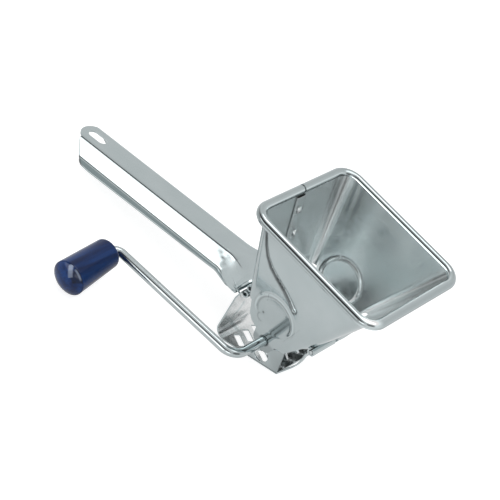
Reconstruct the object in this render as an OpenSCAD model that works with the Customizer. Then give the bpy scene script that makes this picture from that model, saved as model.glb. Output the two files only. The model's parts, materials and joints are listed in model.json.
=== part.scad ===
// Hand-cranked herb mill: a sheet steel hopper on a channel handle, a bent-wire crank that
// turns a row of toothed discs, and a slotted shell below them that swings open.
// Lengths are millimetres. X runs from the handle to the hopper's front, Y from the crank
// side to the far side and Z up. The origin is on the table, under the middle of the mill.

/* [Sheet and wire] */
// Thickness of the hopper's sheet
wall = 0.8; // [0.6:0.1:1]
// Thickness of the handle's sheet
handle_wall = 1; // [0.8:0.1:1.2]
// Thickness of the slotted shell's sheet
shell_wall = 0.8; // [0.6:0.1:1]
// Diameter of the crank wire
wire_d = 4.9; // [4.4:0.1:5.2]
// Running clearance of a wire in its bearing, on the radius
run_gap = 0.05; // [0.03:0.01:0.08]
// Gap between faces that pass each other
side_gap = 0.4; // [0.3:0.05:0.6]

/* [Hopper] */
// Length of the mouth between the centre lines of its rolled rim
rim_len = 79; // [74:1:84]
// Width of the mouth between the centre lines of its rolled rim
rim_wid = 73; // [70:1:76]
// Distance from the crank axis forward to the middle of the mouth
rim_x = 5; // [3:0.5:7]
// Height of the rim's centre line over the crank axis
rim_z = 65; // [60:1:70]
// Diameter of the rolled rim
rim_d = 4.8; // [4.4:0.1:5.2]
// Corner radius of the rim's centre line
rim_r = 9; // [7:0.5:11]
// Diameter of the wire inside the rolled rim
rim_wire_d = 2.6; // [2.2:0.1:2.8]
// Width of the open seam in the rolled rim
rim_seam = 0.9; // [0.5:0.1:1.5]
// Outer half width of the hopper at the height of the crank axis
throat_half = 23.8; // [23.4:0.1:24.4]
// Height over the crank axis where the front and rear walls end
wall_end_z = 19.5; // [19:0.5:20.5]
// Distance from the crank axis back to the rear wall's lower end
rear_end_x = 20.8; // [20.4:0.1:21.2]
// Distance from the crank axis forward to the front wall's lower end
front_end_x = 22.6; // [22:0.1:23]
// Radius of the cheek around the crank axis
cheek_r = 7; // [6.5:0.25:8]
// Radius of the pressed ring in each side wall
ring_r = 12; // [11:0.5:13]
// Height of the pressed ring's centre over the crank axis
ring_z = 19; // [18:0.5:21]
// Width of the pressed ring's ridge
ring_w = 1.8; // [1.4:0.1:2.2]

/* [Handle] */
// Length from the crank axis back to the handle's free end
handle_reach = 159; // [150:1:168]
// Width of the handle's flat top
handle_top = 14.4; // [13:0.2:16]
// Depth of the handle's channel at its free end
handle_deep_end = 10.2; // [9:0.2:11]
// Depth of the handle's channel near the hopper
handle_deep_root = 11; // [10:0.2:12]
// Width of the handle's lips at its free end
lip_end = 5; // [4.5:0.1:6]
// Width of the handle's lips near the hopper
lip_root = 2.2; // [1.8:0.1:3]
// Angle between the handle and the plane of the mouth
handle_rise = 10.2; // [9.6:0.1:10.8]
// Outward lean of the handle's sides from top to lip
handle_lean = 4; // [3:0.25:5]
// Length of the hanging slot
slot_len = 12; // [10:0.5:14]
// Width of the hanging slot
slot_wid = 5.4; // [4.8:0.1:6]
// Distance from the handle's free end to the hanging slot
slot_inset = 4.5; // [4:0.25:6]
// Width of the root plate where it meets the hopper's foot
root_wid = 26; // [25:0.5:27]
// Height of the root plate on the rear wall
root_rise = 15; // [13:0.5:17]
// Diameter of each rivet that holds the handle
rivet_d = 4; // [3.4:0.1:4.6]

/* [Crank] */
// Length of the crank arm from the crank axis to the knob's axis
arm_len = 86.4; // [82:0.2:91]
// Distance from the mill's middle to the crank arm at the hub
arm_y = 46.9; // [46:0.1:49]
// Angle by which the arm leans in from the hub to the knob
arm_lean = 2; // [1:0.25:2.5]
// Bend radius of the wire at the hub
hub_bend = 7.6; // [7:0.2:9]
// Bend radius of the wire at the knob
knob_bend = 4.7; // [4:0.1:5.5]
// Angle by which the knob's axis leans back to the hub, from square to the arm
knob_lean = 7; // [4:0.5:9]
// Angle by which the knob's axis droops to its free end
knob_droop = 4.8; // [3:0.2:6]
// Length of the knob
knob_len = 32.5; // [30:0.5:35]
// Diameter of the knob at its free end
knob_d = 18.8; // [18:0.1:19.2]
// Diameter of the knob at its inner end
knob_neck_d = 16; // [15:0.1:17]
// Gap between the bend in the wire and the knob
knob_gap = 0.6; // [0.4:0.1:1.2]

/* [Cutters] */
// Number of toothed discs
disc_count = 8; // [6:1:8]
// Distance from disc to disc
disc_pitch = 4.4; // [4:0.1:4.6]
// Thickness of a disc
disc_t = 1; // [0.8:0.1:1.2]
// Radius of a disc over its teeth
disc_r = 13.8; // [13:0.1:13.9]
// Radius of a disc at the root of its teeth
disc_root_r = 10.8; // [10:0.1:11.4]
// Number of teeth on a disc
tooth_count = 10; // [8:1:12]
// Diameter of the spacers between the discs
spacer_d = 8; // [7.6:0.1:8.2]

/* [Slotted shell] */
// Slope of the shell's bottom from its pocket up to its front edge
shell_rise = 18; // [17:0.25:19]
// Distance from the crank axis forward to the bottom's front edge
tip_x = 14.2; // [13.8:0.1:15]
// Distance from the crank axis forward to the shell's front arms
front_x = 21.2; // [21:0.1:21.5]
// Width of each front arm
arm_strip = 2.8; // [2.2:0.1:3.2]
// Depth of the shell's rear pocket below the crank axis
pocket_z = 23.2; // [23:0.1:23.6]
// Distance from the crank axis back to the pocket's outer face
pocket_x = 26; // [25.6:0.1:26.6]
// Corner radius at the bottom of the pocket
pocket_r = 5.4; // [5:0.1:6]
// Number of slots in a row across the shell
slot_count = 5; // [4:1:5]
// Distance from slot to slot
slot_pitch = 7; // [6.5:0.1:7.4]
// Length of a slot in the shell
shell_slot_len = 10; // [9:0.5:10.5]
// Width of a slot in the shell
shell_slot_wid = 3.3; // [2.8:0.1:3.6]
// Angle by which the slots slant across the shell
slot_slant = 33; // [28:1:36]
// Radius of the rolled edges that meet at the rear
roll_r = 2.2; // [2:0.1:2.3]
// Diameter of the hinge pin
pin_d = 2; // [1.8:0.1:2.2]
// Radius of the rolled hinge knuckles
knuckle_r = 2.3; // [2.2:0.05:2.5]
// Length of each hopper knuckle
knuckle_len = 17; // [16:0.5:18]
// Radius of the shell's own knuckle
shell_knuckle_r = 1.9; // [1.8:0.05:2]
// Length of the shell's own knuckle
shell_knuckle_len = 14; // [12:0.5:15]
// Radius of the open hole in each end of the shell
end_hole_r = 4.5; // [4:0.1:4.6]

/* [Hidden] */
$fn = 48;

// The side walls lean out from the throat to the rim
top_half = rim_wid / 2 - rim_d / 2 + wall;
side_lean = atan((top_half - throat_half) / rim_z);
function half_at(z) = throat_half + z * tan(side_lean);

// The front and rear walls lean out to the rim too
rear_top_x = rim_x - rim_len / 2 + rim_d / 2 - wall;
front_top_x = rim_x + rim_len / 2 - rim_d / 2 + wall;
function rear_at(z) = -rear_end_x + (rear_top_x + rear_end_x) * (z - wall_end_z) / (rim_z - wall_end_z);
function front_at(z) = front_end_x + (front_top_x - front_end_x) * (z - wall_end_z) / (rim_z - wall_end_z);

// Handle line: the flat top meets the rear wall's foot
lip_start_x = -handle_reach + handle_top / 2;
channel_end_x = -43;
root_x = -rear_end_x - 3.4;
root_top_z = 13.4;
function top_z(x) = root_top_z + (x - root_x) * tan(handle_rise);
function deep_at(x) = handle_deep_end
    + (handle_deep_root - handle_deep_end) * (x - lip_start_x) / (channel_end_x - lip_start_x);

// Rolled edges, one over the other at the rear, and the hinge at the front
upper_roll = [-rear_end_x - 0.7, wall_end_z - 4.8];
lower_roll = [upper_roll[0] - 0.8, upper_roll[1] - 2 * roll_r - 0.3];
rear_end_z = upper_roll[1] + roll_r - 1.3;
hinge = [front_end_x + 1.6, wall_end_z];
shell_half = half_at(-cheek_r) - wall - side_gap - 0.2;
pocket = [-pocket_x + pocket_r, -pocket_z + pocket_r];
bottom_x = pocket[0] + pocket_r * sin(shell_rise);
bottom_z = pocket[1] - pocket_r * cos(shell_rise);
function bottom_at(x) = bottom_z + (x - bottom_x) * tan(shell_rise);
slot_rows = [shell_slot_len * 0.53, shell_slot_len * 2.13];

// Crank wire: at rest its knob lies on the table
bore_r = wire_d / 2 + run_gap;
seat_gap = 0.02;
hub_turn = 90 + arm_lean;
hub_lead = hub_bend * tan(hub_turn / 2);
knob_turn = 90 + knob_lean;
knob_lead = knob_bend * tan(knob_turn / 2);
knob_reach = knob_lead + knob_gap + knob_len;
knob_in = sin(knob_lean) * cos(arm_lean) - cos(knob_lean) * cos(knob_droop) * sin(arm_lean);
knob_down = cos(knob_lean) * sin(knob_droop);
rest_x = arm_len * cos(arm_lean) - (knob_reach - 1) * knob_in;
rest_z = (knob_reach - 1) * knob_down;
rest_r = knob_d / 2 * sqrt(1 - knob_down * knob_down) + 0.02;
arm_drop = asin((pocket_z - rest_r) / norm([rest_x, rest_z])) - atan(rest_z / rest_x);
disc_span = disc_pitch * (disc_count - 1);
bush_in = 1.2;
bush_out = 1.5;
bush_wall = 0.7;
bush_lip = 0.4;
collar_t = 1;
collar_r = 3.8;
collar_y = half_at(0) - wall - bush_in - side_gap - collar_t;
far_end_y = half_at(0) + bush_out + 2.5;

// Knob: a cap closes the pocket where the wire's end is held
cap_t = 1.6;
cap_dome = 0.9;
retainer_t = 0.8;
pocket_deep = 6;
knob_pocket_r = 5.2;

// Where the table lies, and the frame's place on it
table_z = -pocket_z;
frame_x = -(handle_reach - rim_x - (rim_len + rim_d) / 2) / 2;
near_reach = arm_y - arm_len * sin(arm_lean) + knob_reach + cap_dome;
frame_y = -(near_reach - (rim_wid + rim_d) / 2) / 2;

// Moves a piece from the crank axis to the frame on the table
module placed() {
    translate([-frame_x, -frame_y, -table_z]) children();
}

// Turns the crank's own plane to where it rests
module crank_placed() {
    placed() rotate([0, -arm_drop, 0]) children();
}

// A round bar between two points
module bar(a, b, d) {
    v = b - a;
    translate(a)
        rotate([0, acos(v[2] / norm(v)), atan2(v[1], v[0])])
            cylinder(h = norm(v), d = d);
}

// A flat strip of sheet between two edges, each given by its two ends
module strip(a, b, c, d, t) {
    hull() {
        bar(a, b, t, $fn = 12);
        bar(c, d, t, $fn = 12);
    }
}

// A tube or bar along Y, between two distances from the middle
module along_y(x, z, r, y0, y1, inner = 0) {
    translate([x, y0, z]) rotate([-90, 0, 0]) difference() {
        cylinder(h = y1 - y0, r = r);
        if (inner > 0) translate([0, 0, -1]) cylinder(h = y1 - y0 + 2, r = inner);
    }
}

// A flat shape in X and Z, extruded along Y
module side_shape(y0, y1) {
    translate([0, y1, 0]) rotate([90, 0, 0]) linear_extrude(y1 - y0) children();
}

// A thin rounded rectangle at one height
module slab(x0, x1, half, r, z) {
    for (x = [x0 + r, x1 - r], s = [-1, 1])
        translate([x, s * (half - r), z]) cylinder(h = 0.02, r = r, $fn = 32);
}

// The hopper's tapered block, made smaller by the sheet's thickness for its inside
module hopper_block(inset, low, high) {
    r_top = rim_r - rim_d / 2 + wall - inset;
    r_low = 3 - inset;
    hull() {
        slab(rear_at(low) + inset, front_at(low) - inset, half_at(low) - inset, r_low, low);
        slab(rear_at(high) + inset, front_at(high) - inset, half_at(high) - inset, r_top, high);
    }
}

// The outline of what is cut away under the walls and around the cheeks
module below_hopper() {
    low = -40;
    difference() {
        polygon([
            [-80, low], [-80, rear_end_z], [rear_at(rear_end_z), rear_end_z],
            [-17.5, rear_end_z - 3], [-11, 4.5], [0, 0], [12.5, 4],
            [front_at(wall_end_z) - 3.4, wall_end_z - 3],
            [front_at(wall_end_z) + 0.1, wall_end_z], [80, wall_end_z], [80, low]
        ]);
        circle(r = cheek_r);
    }
}

// A ridge ring pressed in a side wall
module pressed_ring(s) {
    translate([-1, s * (half_at(ring_z) - wall / 2), ring_z])
        rotate([-s * side_lean, 0, 0])
            rotate([90, 0, 0])
                rotate_extrude() translate([ring_r, 0]) circle(d = ring_w, $fn = 24);
}

// Hopper: four walls in one sheet, with a cheek each side and the front knuckles
module hopper() {
    color("silver") placed() {
        difference() {
            union() {
                difference() {
                    hopper_block(0, -cheek_r - 2, rim_z);
                    hopper_block(wall, -cheek_r - 2.1, rim_z + 0.1);
                    side_shape(-50, 50) below_hopper();
                }
                for (s = [-1, 1]) pressed_ring(s);
            }
            rivet_holes(rivet_d / 2);
            for (s = [-1, 1])
                translate([0, s * half_at(0), 0]) rotate([90, 0, 0])
                    cylinder(h = 8, r = bush_r(), center = true);
            translate([hinge[0] - 5, knuckle_y0(-1) + knuckle_len, hinge[1] - 5])
                cube([10, -2 * (knuckle_y0(-1) + knuckle_len), 5 + shell_knuckle_r + side_gap]);
        }
        for (s = [-1, 1])
            along_y(hinge[0], hinge[1], knuckle_r, knuckle_y0(s), knuckle_y0(s) + knuckle_len, pin_d / 2);
        difference() {
            along_y(upper_roll[0], upper_roll[1], roll_r, -shell_half, shell_half);
            along_y(upper_roll[0], upper_roll[1], roll_r - wall, -40, 40);
        }
    }
}
function bush_r() = wire_d / 2 + bush_wall;
function knuckle_y0(s) = s < 0 ? -half_at(wall_end_z) + 1.2 : half_at(wall_end_z) - 1.2 - knuckle_len;

// Rolled rim: a hollow bead round the mouth, open at the seam over the rear wall
module rim_path(r) {
    x0 = rim_x - rim_len / 2;
    x1 = rim_x + rim_len / 2;
    y = rim_wid / 2;
    for (s = [-1, 1]) translate([x0 + rim_r, s * y, rim_z]) rotate([0, 90, 0])
        cylinder(h = rim_len - 2 * rim_r, r = r);
    for (x = [x0, x1]) along_y(x, rim_z, r, -y + rim_r, y - rim_r);
    for (i = [0 : 3])
        translate([i == 0 || i == 3 ? x1 - rim_r : x0 + rim_r, i < 2 ? y - rim_r : -y + rim_r, rim_z])
            rotate([0, 0, i * 90])
                rotate_extrude(angle = 90) translate([rim_r, 0]) circle(r = r);
}

module rim_roll() {
    color("silver") placed() difference() {
        rim_path(rim_d / 2);
        rim_path(rim_wire_d / 2 + 0.1);
        translate([rim_x - rim_len / 2 - rim_d, -rim_seam / 2, rim_z - rim_d])
            cube([2 * rim_d - 1, rim_seam, 2 * rim_d]);
        hopper_block(-0.02, rim_z - rim_d, rim_z + 0.02);
    }
}

// Wire that the rim is rolled around
module rim_wire() {
    color("gray") placed() rim_path(rim_wire_d / 2);
}

// Strap inside the rear wall that laps the sheet's seam
module seam_strap() {
    low = wall_end_z + 7 + rivet_head_r() + 2;
    high = rim_z - rim_d;
    y0 = -6.5;
    y1 = 0.5;
    color("silver") placed()
        strip(
            [rear_at(low) + wall * 1.6, y0, low], [rear_at(high) + wall * 1.6, y0, high],
            [rear_at(low) + wall * 1.6, y1, low], [rear_at(high) + wall * 1.6, y1, high], 0.9
        );
}

// Flanged bush in a cheek, where the wire runs
module bush(s) {
    y0 = half_at(0) - wall - bush_in;
    y1 = half_at(0) + bush_out;
    color("gainsboro") placed() translate([0, s * y0, 0]) rotate([-s * 90, 0, 0])
        difference() {
            union() {
                cylinder(h = y1 - y0, r = bush_r());
                translate([0, 0, y1 - y0 - 0.8]) cylinder(h = 0.8, r = bush_r() + bush_lip);
            }
            translate([0, 0, -1]) cylinder(h = y1 - y0 + 2, r = bore_r);
        }
}
module near_bush() {
    bush(-1);
}
module far_bush() {
    bush(1);
}

// Handle: a channel of sheet with a flat top, leaning sides and turned-out lips
module handle() {
    half = handle_top / 2;
    color("silver") placed() {
        difference() {
            intersection() {
                translate([root_x, -half, root_top_z]) rotate([0, -handle_rise, 0])
                    translate([-handle_reach - 10, 0, -handle_wall])
                        cube([handle_reach + 10, handle_top, handle_wall]);
                translate([0, 0, -handle_reach]) linear_extrude(2 * handle_reach) union() {
                    translate([lip_start_x, -half]) square([handle_reach, handle_top]);
                    translate([lip_start_x, 0]) circle(r = half);
                }
            }
            hanging_slot();
        }
        intersection() {
            difference() {
                for (s = [-1, 1]) handle_side(s, half);
                translate([lip_start_x - 3.2, -40, top_z(lip_start_x - 3.2)]) rotate([0, 47, 0])
                    translate([-30, 0, -30]) cube([60, 80, 30]);
            }
            translate([0, 0, -handle_reach]) linear_extrude(2 * handle_reach) lip_outline(half + handle_lean);
        }
    }
}

// The sides seen from above: each lip starts behind its side and runs out in a curve
module lip_outline(out) {
    a = lip_start_x;
    for (s = [-1, 1]) polygon([
        [a - 2, 0], [a - 2, s * (out + 0.6)], [a + 8, s * (out + 0.6)], [a + 11, s * (out + 2.4)],
        [a + 14.5, s * (out + 4)], [a + 19, s * (out + lip_end + 1)],
        [-30, s * (out + lip_end + 1)], [-30, 0]
    ]);
}

// One leaning side of the channel with its lip
module handle_side(s, half) {
    a = lip_start_x;
    b = channel_end_x;
    za = top_z(a) - handle_wall / 2;
    zb = top_z(b) - handle_wall / 2;
    deep0 = handle_deep_end - handle_wall;
    deep1 = handle_deep_root - handle_wall;
    out = half + handle_lean;
    strip([a, s * half, za], [b, s * half, zb], [a, s * out, za - deep0], [b, s * out, zb - deep1], handle_wall);
    strip([a, s * out, za - deep0], [b, s * out, zb - deep1],
        [a, s * (out + lip_end), za - deep0], [b, s * (out + lip_root), zb - deep1], handle_wall);
}

module hanging_slot() {
    x0 = -handle_reach + slot_inset + slot_wid / 2;
    x1 = x0 + slot_len - slot_wid;
    translate([0, 0, top_z(x0) - handle_reach / 2]) {
        for (x = [x0, x1]) translate([x, 0, 0]) cylinder(h = handle_reach, d = slot_wid);
        translate([x0, -slot_wid / 2, 0]) cube([x1 - x0, slot_wid, handle_reach]);
    }
}

// Root plate: stands on the rear wall, slopes down to the handle's top and flares to its sides
module root_plate() {
    t = handle_wall;
    low = wall_end_z - 0.5;
    high = wall_end_z + root_rise;
    meet_x = root_x - 4;
    off = (t / 2 + 0.03) / cos(rear_lean());
    half = root_wid / 2;
    foot = [rear_at(low) - off, half, low];
    head = [rear_at(high) - off, half - 4, high];
    nose = [meet_x, handle_top / 2, top_z(meet_x) + t / 2 + 0.03];
    turn = foot + (nose - foot) * 0.36;
    wing = [upper_roll[0] - roll_r - 1, half + 4, low - 2.7];
    color("silver") placed() difference() {
        union() {
            strip(foot, head, flipped(foot), flipped(head), t);
            strip(foot, nose, flipped(foot), flipped(nose), t);
            root_side(turn, wing, foot, t);
            mirror([0, 1, 0]) root_side(turn, wing, foot, t);
            along_y(latch[0], latch[1], latch_r, -half - 6.6, half + 6.6, $fn = 24);
        }
        rivet_holes(rivet_d / 2);
    }
}
function flipped(p) = [p[0], -p[1], p[2]];
latch = [root_x - 4.3, top_z(root_x - 8.8) - handle_deep_root + handle_wall + 2.7];
latch_r = 0.9;

// One side of the root plate, outside the channel's side and behind the rolled edge
module root_side(turn, wing, foot, t) {
    b = channel_end_x;
    half = handle_top / 2 + t;
    deep = handle_deep_root - handle_wall;
    middle = [root_x - 8.8, half + handle_lean + 3, top_z(root_x - 8.8) - deep];
    strip([b, half + 0.05, top_z(b) - t], turn, [b, half + handle_lean, top_z(b) - deep], middle, t);
    strip(turn, wing, middle, [latch[0], root_wid / 2 + 6.6, latch[1]], t);
    strip(foot, wing, turn, turn + [0, 0, 0.01], t);
}

// Two rivets through the root plate and the rear wall
module rivet_places() {
    for (y = [-5, 5]) {
        z = wall_end_z + 7;
        translate([rear_at(z), y, z]) rotate([0, -90 - rear_lean(), 0]) children();
    }
}
function rear_lean() = atan((-rear_top_x - rear_end_x) / (rim_z - wall_end_z));
module rivet_holes(r) {
    rivet_places() translate([0, 0, -3]) cylinder(h = 6, r = r);
}

// Each rivet: a shank with a head outside the plate and one inside the hopper
module handle_rivets() {
    head = 0.9;
    inner = -wall - 0.04;
    outer = handle_wall + 0.06;
    color("gainsboro") placed() rivet_places() {
        translate([0, 0, outer]) cylinder(h = head, r = rivet_head_r());
        translate([0, 0, inner - head]) cylinder(h = head, r = rivet_head_r());
        translate([0, 0, inner - head / 2]) cylinder(h = outer - inner + head, d = rivet_d - 0.04);
    }
}
function rivet_head_r() = rivet_d / 2 + 1;

// Fixed comb: a strip on the rear wall with fingers that stand between the discs
comb_root = [rear_at(wall_end_z) + wall + 0.05, wall_end_z];
comb_turn = atan2(comb_root[1], -comb_root[0]);
module stripper_comb() {
    t = 0.8;
    half = shell_half - 1;
    base_r = disc_r + 1.2;
    finger_r = spacer_d / 2 + 0.6;
    finger_half = (disc_pitch - disc_t) / 2 - 0.7;
    reach = norm(comb_root);
    color("silver") placed() {
        rotate([0, comb_turn, 0]) {
            translate([-reach + 0.7, -half, -t / 2]) cube([reach - base_r - 0.7, 2 * half, t]);
            for (i = [1 : disc_count - 1]) {
                y = disc_y(i) + disc_t / 2 + disc_pitch / 2;
                translate([-base_r - 1, y - finger_half, -t / 2])
                    cube([base_r + 1 - finger_r, 2 * finger_half, t]);
            }
        }
        translate([comb_root[0], -half, comb_root[1]]) rotate([0, -rear_lean(), 0])
            translate([0, 0, -1]) cube([t, 2 * half, 4]);
    }
}

// Points along an arc in X and Z
function arc(c, r, a0, a1, n) = [for (i = [0 : n]) let (a = a0 + (a1 - a0) * i / n)
    [c[0] + r * cos(a), c[1] + r * sin(a)]];

// The shell's sheet from its rear roll down and forward to its front edge, at a depth in the sheet
function shell_line(d) = concat(
    [[lower_roll[0] - roll_r + d, lower_roll[1]], [-pocket_x + d, 3.9]],
    arc(pocket, pocket_r - d, 180, 270 + shell_rise, 12),
    [[tip_x - d * sin(shell_rise), bottom_at(tip_x) + d * cos(shell_rise)]]
);

// A front arm's sheet from the bottom's front edge up, at a depth in the sheet
function arm_line(d) = [
    [tip_x - d, bottom_at(tip_x) + d * 0.3], [(tip_x + front_x) / 2 + 1.4 - d, -1.6],
    [front_x - 0.5 - d, 3.4], [front_x - d, 8], [front_x - d, hinge[1] - knuckle_r - 1]
];
function turned(list) = [for (i = [len(list) - 1 : -1 : 0]) list[i]];

// Slotted shell: sheet under the discs, with open ends, front arms, a rolled rear edge and a knuckle
module slotted_shell() {
    color("silver") placed() {
        difference() {
            union() {
                side_shape(-shell_half, shell_half)
                    polygon(concat(shell_line(0), turned(shell_line(shell_wall))));
                for (s = [-1, 1]) {
                    shell_end(s);
                    side_shape(s < 0 ? -shell_half : shell_half - arm_strip,
                        s < 0 ? -shell_half + arm_strip : shell_half)
                        polygon(concat(arm_line(0), turned(arm_line(shell_wall))));
                }
                translate([front_x - shell_wall, -shell_half, 12])
                    cube([shell_wall, 2 * shell_half, hinge[1] - knuckle_r - 13]);
                along_y(lower_roll[0], lower_roll[1], roll_r, -shell_half, shell_half);
                along_y(hinge[0], hinge[1], shell_knuckle_r, -shell_knuckle_len / 2, shell_knuckle_len / 2);
                side_shape(-shell_knuckle_len / 2, shell_knuckle_len / 2) shell_tab();
            }
            along_y(lower_roll[0], lower_roll[1], roll_r - shell_wall, -40, 40);
            along_y(hinge[0], hinge[1], pin_d / 2 + run_gap, -40, 40);
            for (i = [1 : slot_count], along = slot_rows) {
                y = (i - (slot_count + 1) / 2) * slot_pitch - 1;
                translate([bottom_x, y, bottom_z]) rotate([0, -shell_rise, 0])
                    translate([along, 0, 0]) rotate([0, 0, -slot_slant])
                        cube([shell_slot_len, shell_slot_wid, 4], center = true);
            }
        }
    }
}

// The tab that ties the front cross strip to the shell's knuckle
module shell_tab() {
    x = front_x - shell_wall;
    z = hinge[1] - knuckle_r - 2;
    polygon([[x, z], [front_x, z], [hinge[0] - 0.4, hinge[1] - 1.4], [hinge[0] - 1.3, hinge[1] - 0.8]]);
}

// The plate at each end of the shell, under the crank wire, with an open hole
module shell_end(s) {
    y0 = s < 0 ? -shell_half : shell_half - shell_wall;
    side_shape(y0, y0 + shell_wall) difference() {
        polygon([
            [-5, bottom_at(-5) + 0.4], [-5, -7.8], [11.5, 1.6], [tip_x, bottom_at(tip_x) + 0.4]
        ]);
        translate([1.6, -10]) circle(r = end_hole_r);
    }
}

module hinge_pin() {
    color("gray") placed()
        along_y(hinge[0], hinge[1], pin_d / 2, knuckle_y0(-1) - 0.3, -knuckle_y0(-1) + 0.3);
}

// Bend of the crank wire, in the crank's plane, a hair thinner than the straight wire that laps it
module wire_bend(x, y, r, from, turn) {
    translate([x, y, 0]) rotate([0, 0, from]) rotate_extrude(angle = turn)
        translate([r, 0]) circle(d = wire_d - 0.1);
}

// The frame of the arm: its line starts on the crank axis and runs back
module arm_placed() {
    translate([0, -arm_y, 0]) rotate([knob_droop, 0, -arm_lean]) children();
}

// The frame of the knob's axis, at the end of the wire's last bend
module knob_placed() {
    arm_placed()
        translate([knob_lead - arm_len, -knob_bend, 0]) rotate([0, 0, knob_turn])
            translate([0, knob_bend, 0]) rotate([0, -90, 0]) children();
}

// Crank: one wire, bent at the hub and at the knob
module crank_rod() {
    lap = 0.4;
    color("silver") crank_placed() {
        along_y(0, 0, wire_d / 2, -arm_y + hub_lead - lap, far_end_y);
        wire_bend(-hub_bend, -arm_y + hub_lead, hub_bend, -hub_turn, hub_turn);
        arm_placed() {
            translate([knob_lead - arm_len - lap, 0, 0]) rotate([0, 90, 0])
                cylinder(h = arm_len - knob_lead - hub_lead + 2 * lap, d = wire_d);
            wire_bend(knob_lead - arm_len, -knob_bend, knob_bend, 90, knob_turn);
        }
        knob_placed() translate([0, 0, -lap])
            cylinder(h = lap + knob_gap + knob_len - cap_t - retainer_t - 1.6, d = wire_d);
    }
}

// Collars pressed on the wire inside each bush
module near_collar() {
    color("gainsboro") placed() along_y(0, 0, collar_r, -collar_y - collar_t, -collar_y, wire_d / 2 + seat_gap);
}
module far_collar() {
    color("gainsboro") placed() along_y(0, 0, collar_r, collar_y, collar_y + collar_t, wire_d / 2 + seat_gap);
}

// Where a disc starts along the wire
function disc_y(i) = (i - 1) * disc_pitch - disc_span / 2 - disc_t / 2;

// Toothed disc: each tooth rises slowly and drops steeply
module cutter_disc(i) {
    step = 360 / tooth_count;
    color("silver") crank_placed() side_shape(disc_y(i), disc_y(i) + disc_t) difference() {
        polygon([for (k = [0 : tooth_count - 1]) let (a = k * step + i * step / 2) each [
            disc_root_r * [cos(a), sin(a)],
            (disc_root_r + 1) * [cos(a + step * 0.3), sin(a + step * 0.3)],
            disc_r * [cos(a + step * 0.6), sin(a + step * 0.6)],
            disc_r * [cos(a + step * 0.72), sin(a + step * 0.72)],
            disc_root_r * [cos(a + step * 0.78), sin(a + step * 0.78)]
        ]]);
        circle(r = wire_d / 2 + seat_gap);
    }
}

// Spacer tube in front of a disc; the last one lies behind the last disc
module spacer(i) {
    y0 = i == 1 ? -collar_y : disc_y(i - 1) + disc_t;
    y1 = i == disc_count + 1 ? collar_y : disc_y(i);
    color("gainsboro") crank_placed() along_y(0, 0, spacer_d / 2, y0, y1, wire_d / 2 + seat_gap);
}

// Knob: a tapered grip that turns on the wire
module knob() {
    r0 = knob_neck_d / 2;
    r1 = knob_d / 2;
    top = knob_len - cap_t;
    color("darkblue") crank_placed() knob_placed() translate([0, 0, knob_gap]) rotate_extrude() polygon([
        [bore_r, 0], [r0 - 1.6, 0], [r0 - 0.5, 0.5], [r0, 1.6],
        [r1, top], [knob_pocket_r, top], [knob_pocket_r, top - pocket_deep], [bore_r, top - pocket_deep]
    ]);
}

// Cap: closes the knob's free end, slightly domed
module knob_cap() {
    r1 = knob_d / 2;
    color("darkblue") crank_placed() knob_placed() translate([0, 0, knob_gap + knob_len - cap_t]) {
        rotate_extrude() polygon([
            [0, -1.2], [knob_pocket_r - 0.02, -1.2], [knob_pocket_r - 0.02, 0], [r1, 0],
            [r1, cap_t * 0.4], [r1 - 0.5, cap_t * 0.8], [r1 - 1.4, cap_t],
            [r1 * 0.5, cap_t + cap_dome * 0.75], [0, cap_t + cap_dome]
        ]);
    }
}

// Push-on retainer on the wire's end, in the knob's pocket
module knob_retainer() {
    z = knob_gap + knob_len - cap_t - pocket_deep + side_gap;
    color("gainsboro") crank_placed() knob_placed() translate([0, 0, z]) difference() {
        cylinder(h = retainer_t, r = knob_pocket_r - 0.5);
        translate([0, 0, -1]) cylinder(h = retainer_t + 2, r = wire_d / 2 + seat_gap);
    }
}

hopper();
rim_roll();
rim_wire();
seam_strap();
near_bush();
far_bush();
handle();
root_plate();
handle_rivets();
stripper_comb();
slotted_shell();
hinge_pin();
crank_rod();
near_collar();
far_collar();
for (i = [1 : disc_count])
    cutter_disc(i);
for (i = [1 : disc_count + 1])
    spacer(i);
knob();
knob_cap();
knob_retainer();
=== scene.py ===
import json
import math

import bmesh
import bpy
from mathutils import Matrix, Vector

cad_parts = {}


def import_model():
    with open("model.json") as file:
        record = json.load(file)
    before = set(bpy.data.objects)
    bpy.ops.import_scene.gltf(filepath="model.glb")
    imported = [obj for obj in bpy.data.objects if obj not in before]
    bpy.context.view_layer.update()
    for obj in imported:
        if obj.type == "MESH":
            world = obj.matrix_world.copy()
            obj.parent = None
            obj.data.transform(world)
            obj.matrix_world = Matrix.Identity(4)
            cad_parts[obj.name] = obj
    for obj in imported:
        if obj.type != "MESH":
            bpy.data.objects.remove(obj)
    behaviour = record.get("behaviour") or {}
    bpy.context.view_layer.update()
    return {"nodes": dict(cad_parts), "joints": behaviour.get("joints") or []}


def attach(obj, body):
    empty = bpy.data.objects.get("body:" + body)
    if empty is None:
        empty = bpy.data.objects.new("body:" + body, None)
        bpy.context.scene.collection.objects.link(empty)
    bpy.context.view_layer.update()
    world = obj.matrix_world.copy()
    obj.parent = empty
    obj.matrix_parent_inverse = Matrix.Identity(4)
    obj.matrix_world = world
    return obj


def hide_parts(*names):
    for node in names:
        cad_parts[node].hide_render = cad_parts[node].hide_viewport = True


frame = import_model()
scene = bpy.context.scene
nodes = frame["nodes"]
joints = {j["name"]: j for j in frame["joints"]}
AXIS = Vector(joints["crank_turn"]["pos_m"])

# Sizes in millimetres from the crank axis, and turns in degrees, as in the part's source
WALL, HANDLE_WALL, BEAD_WALL = 0.8, 0.95, 0.75
# Rim: length, width, middle, height, corners and bead, its wire, half widths of the seam in both
RIM_LEN, RIM_WID, RIM_X, RIM_Z, RIM_R, RIM_D = 79.0, 73.0, 5.0, 65.0, 9.0, 4.8
CORE_R, SEAM_GAP, CORE_GAP = 1.3, 0.45, 0.1
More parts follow.
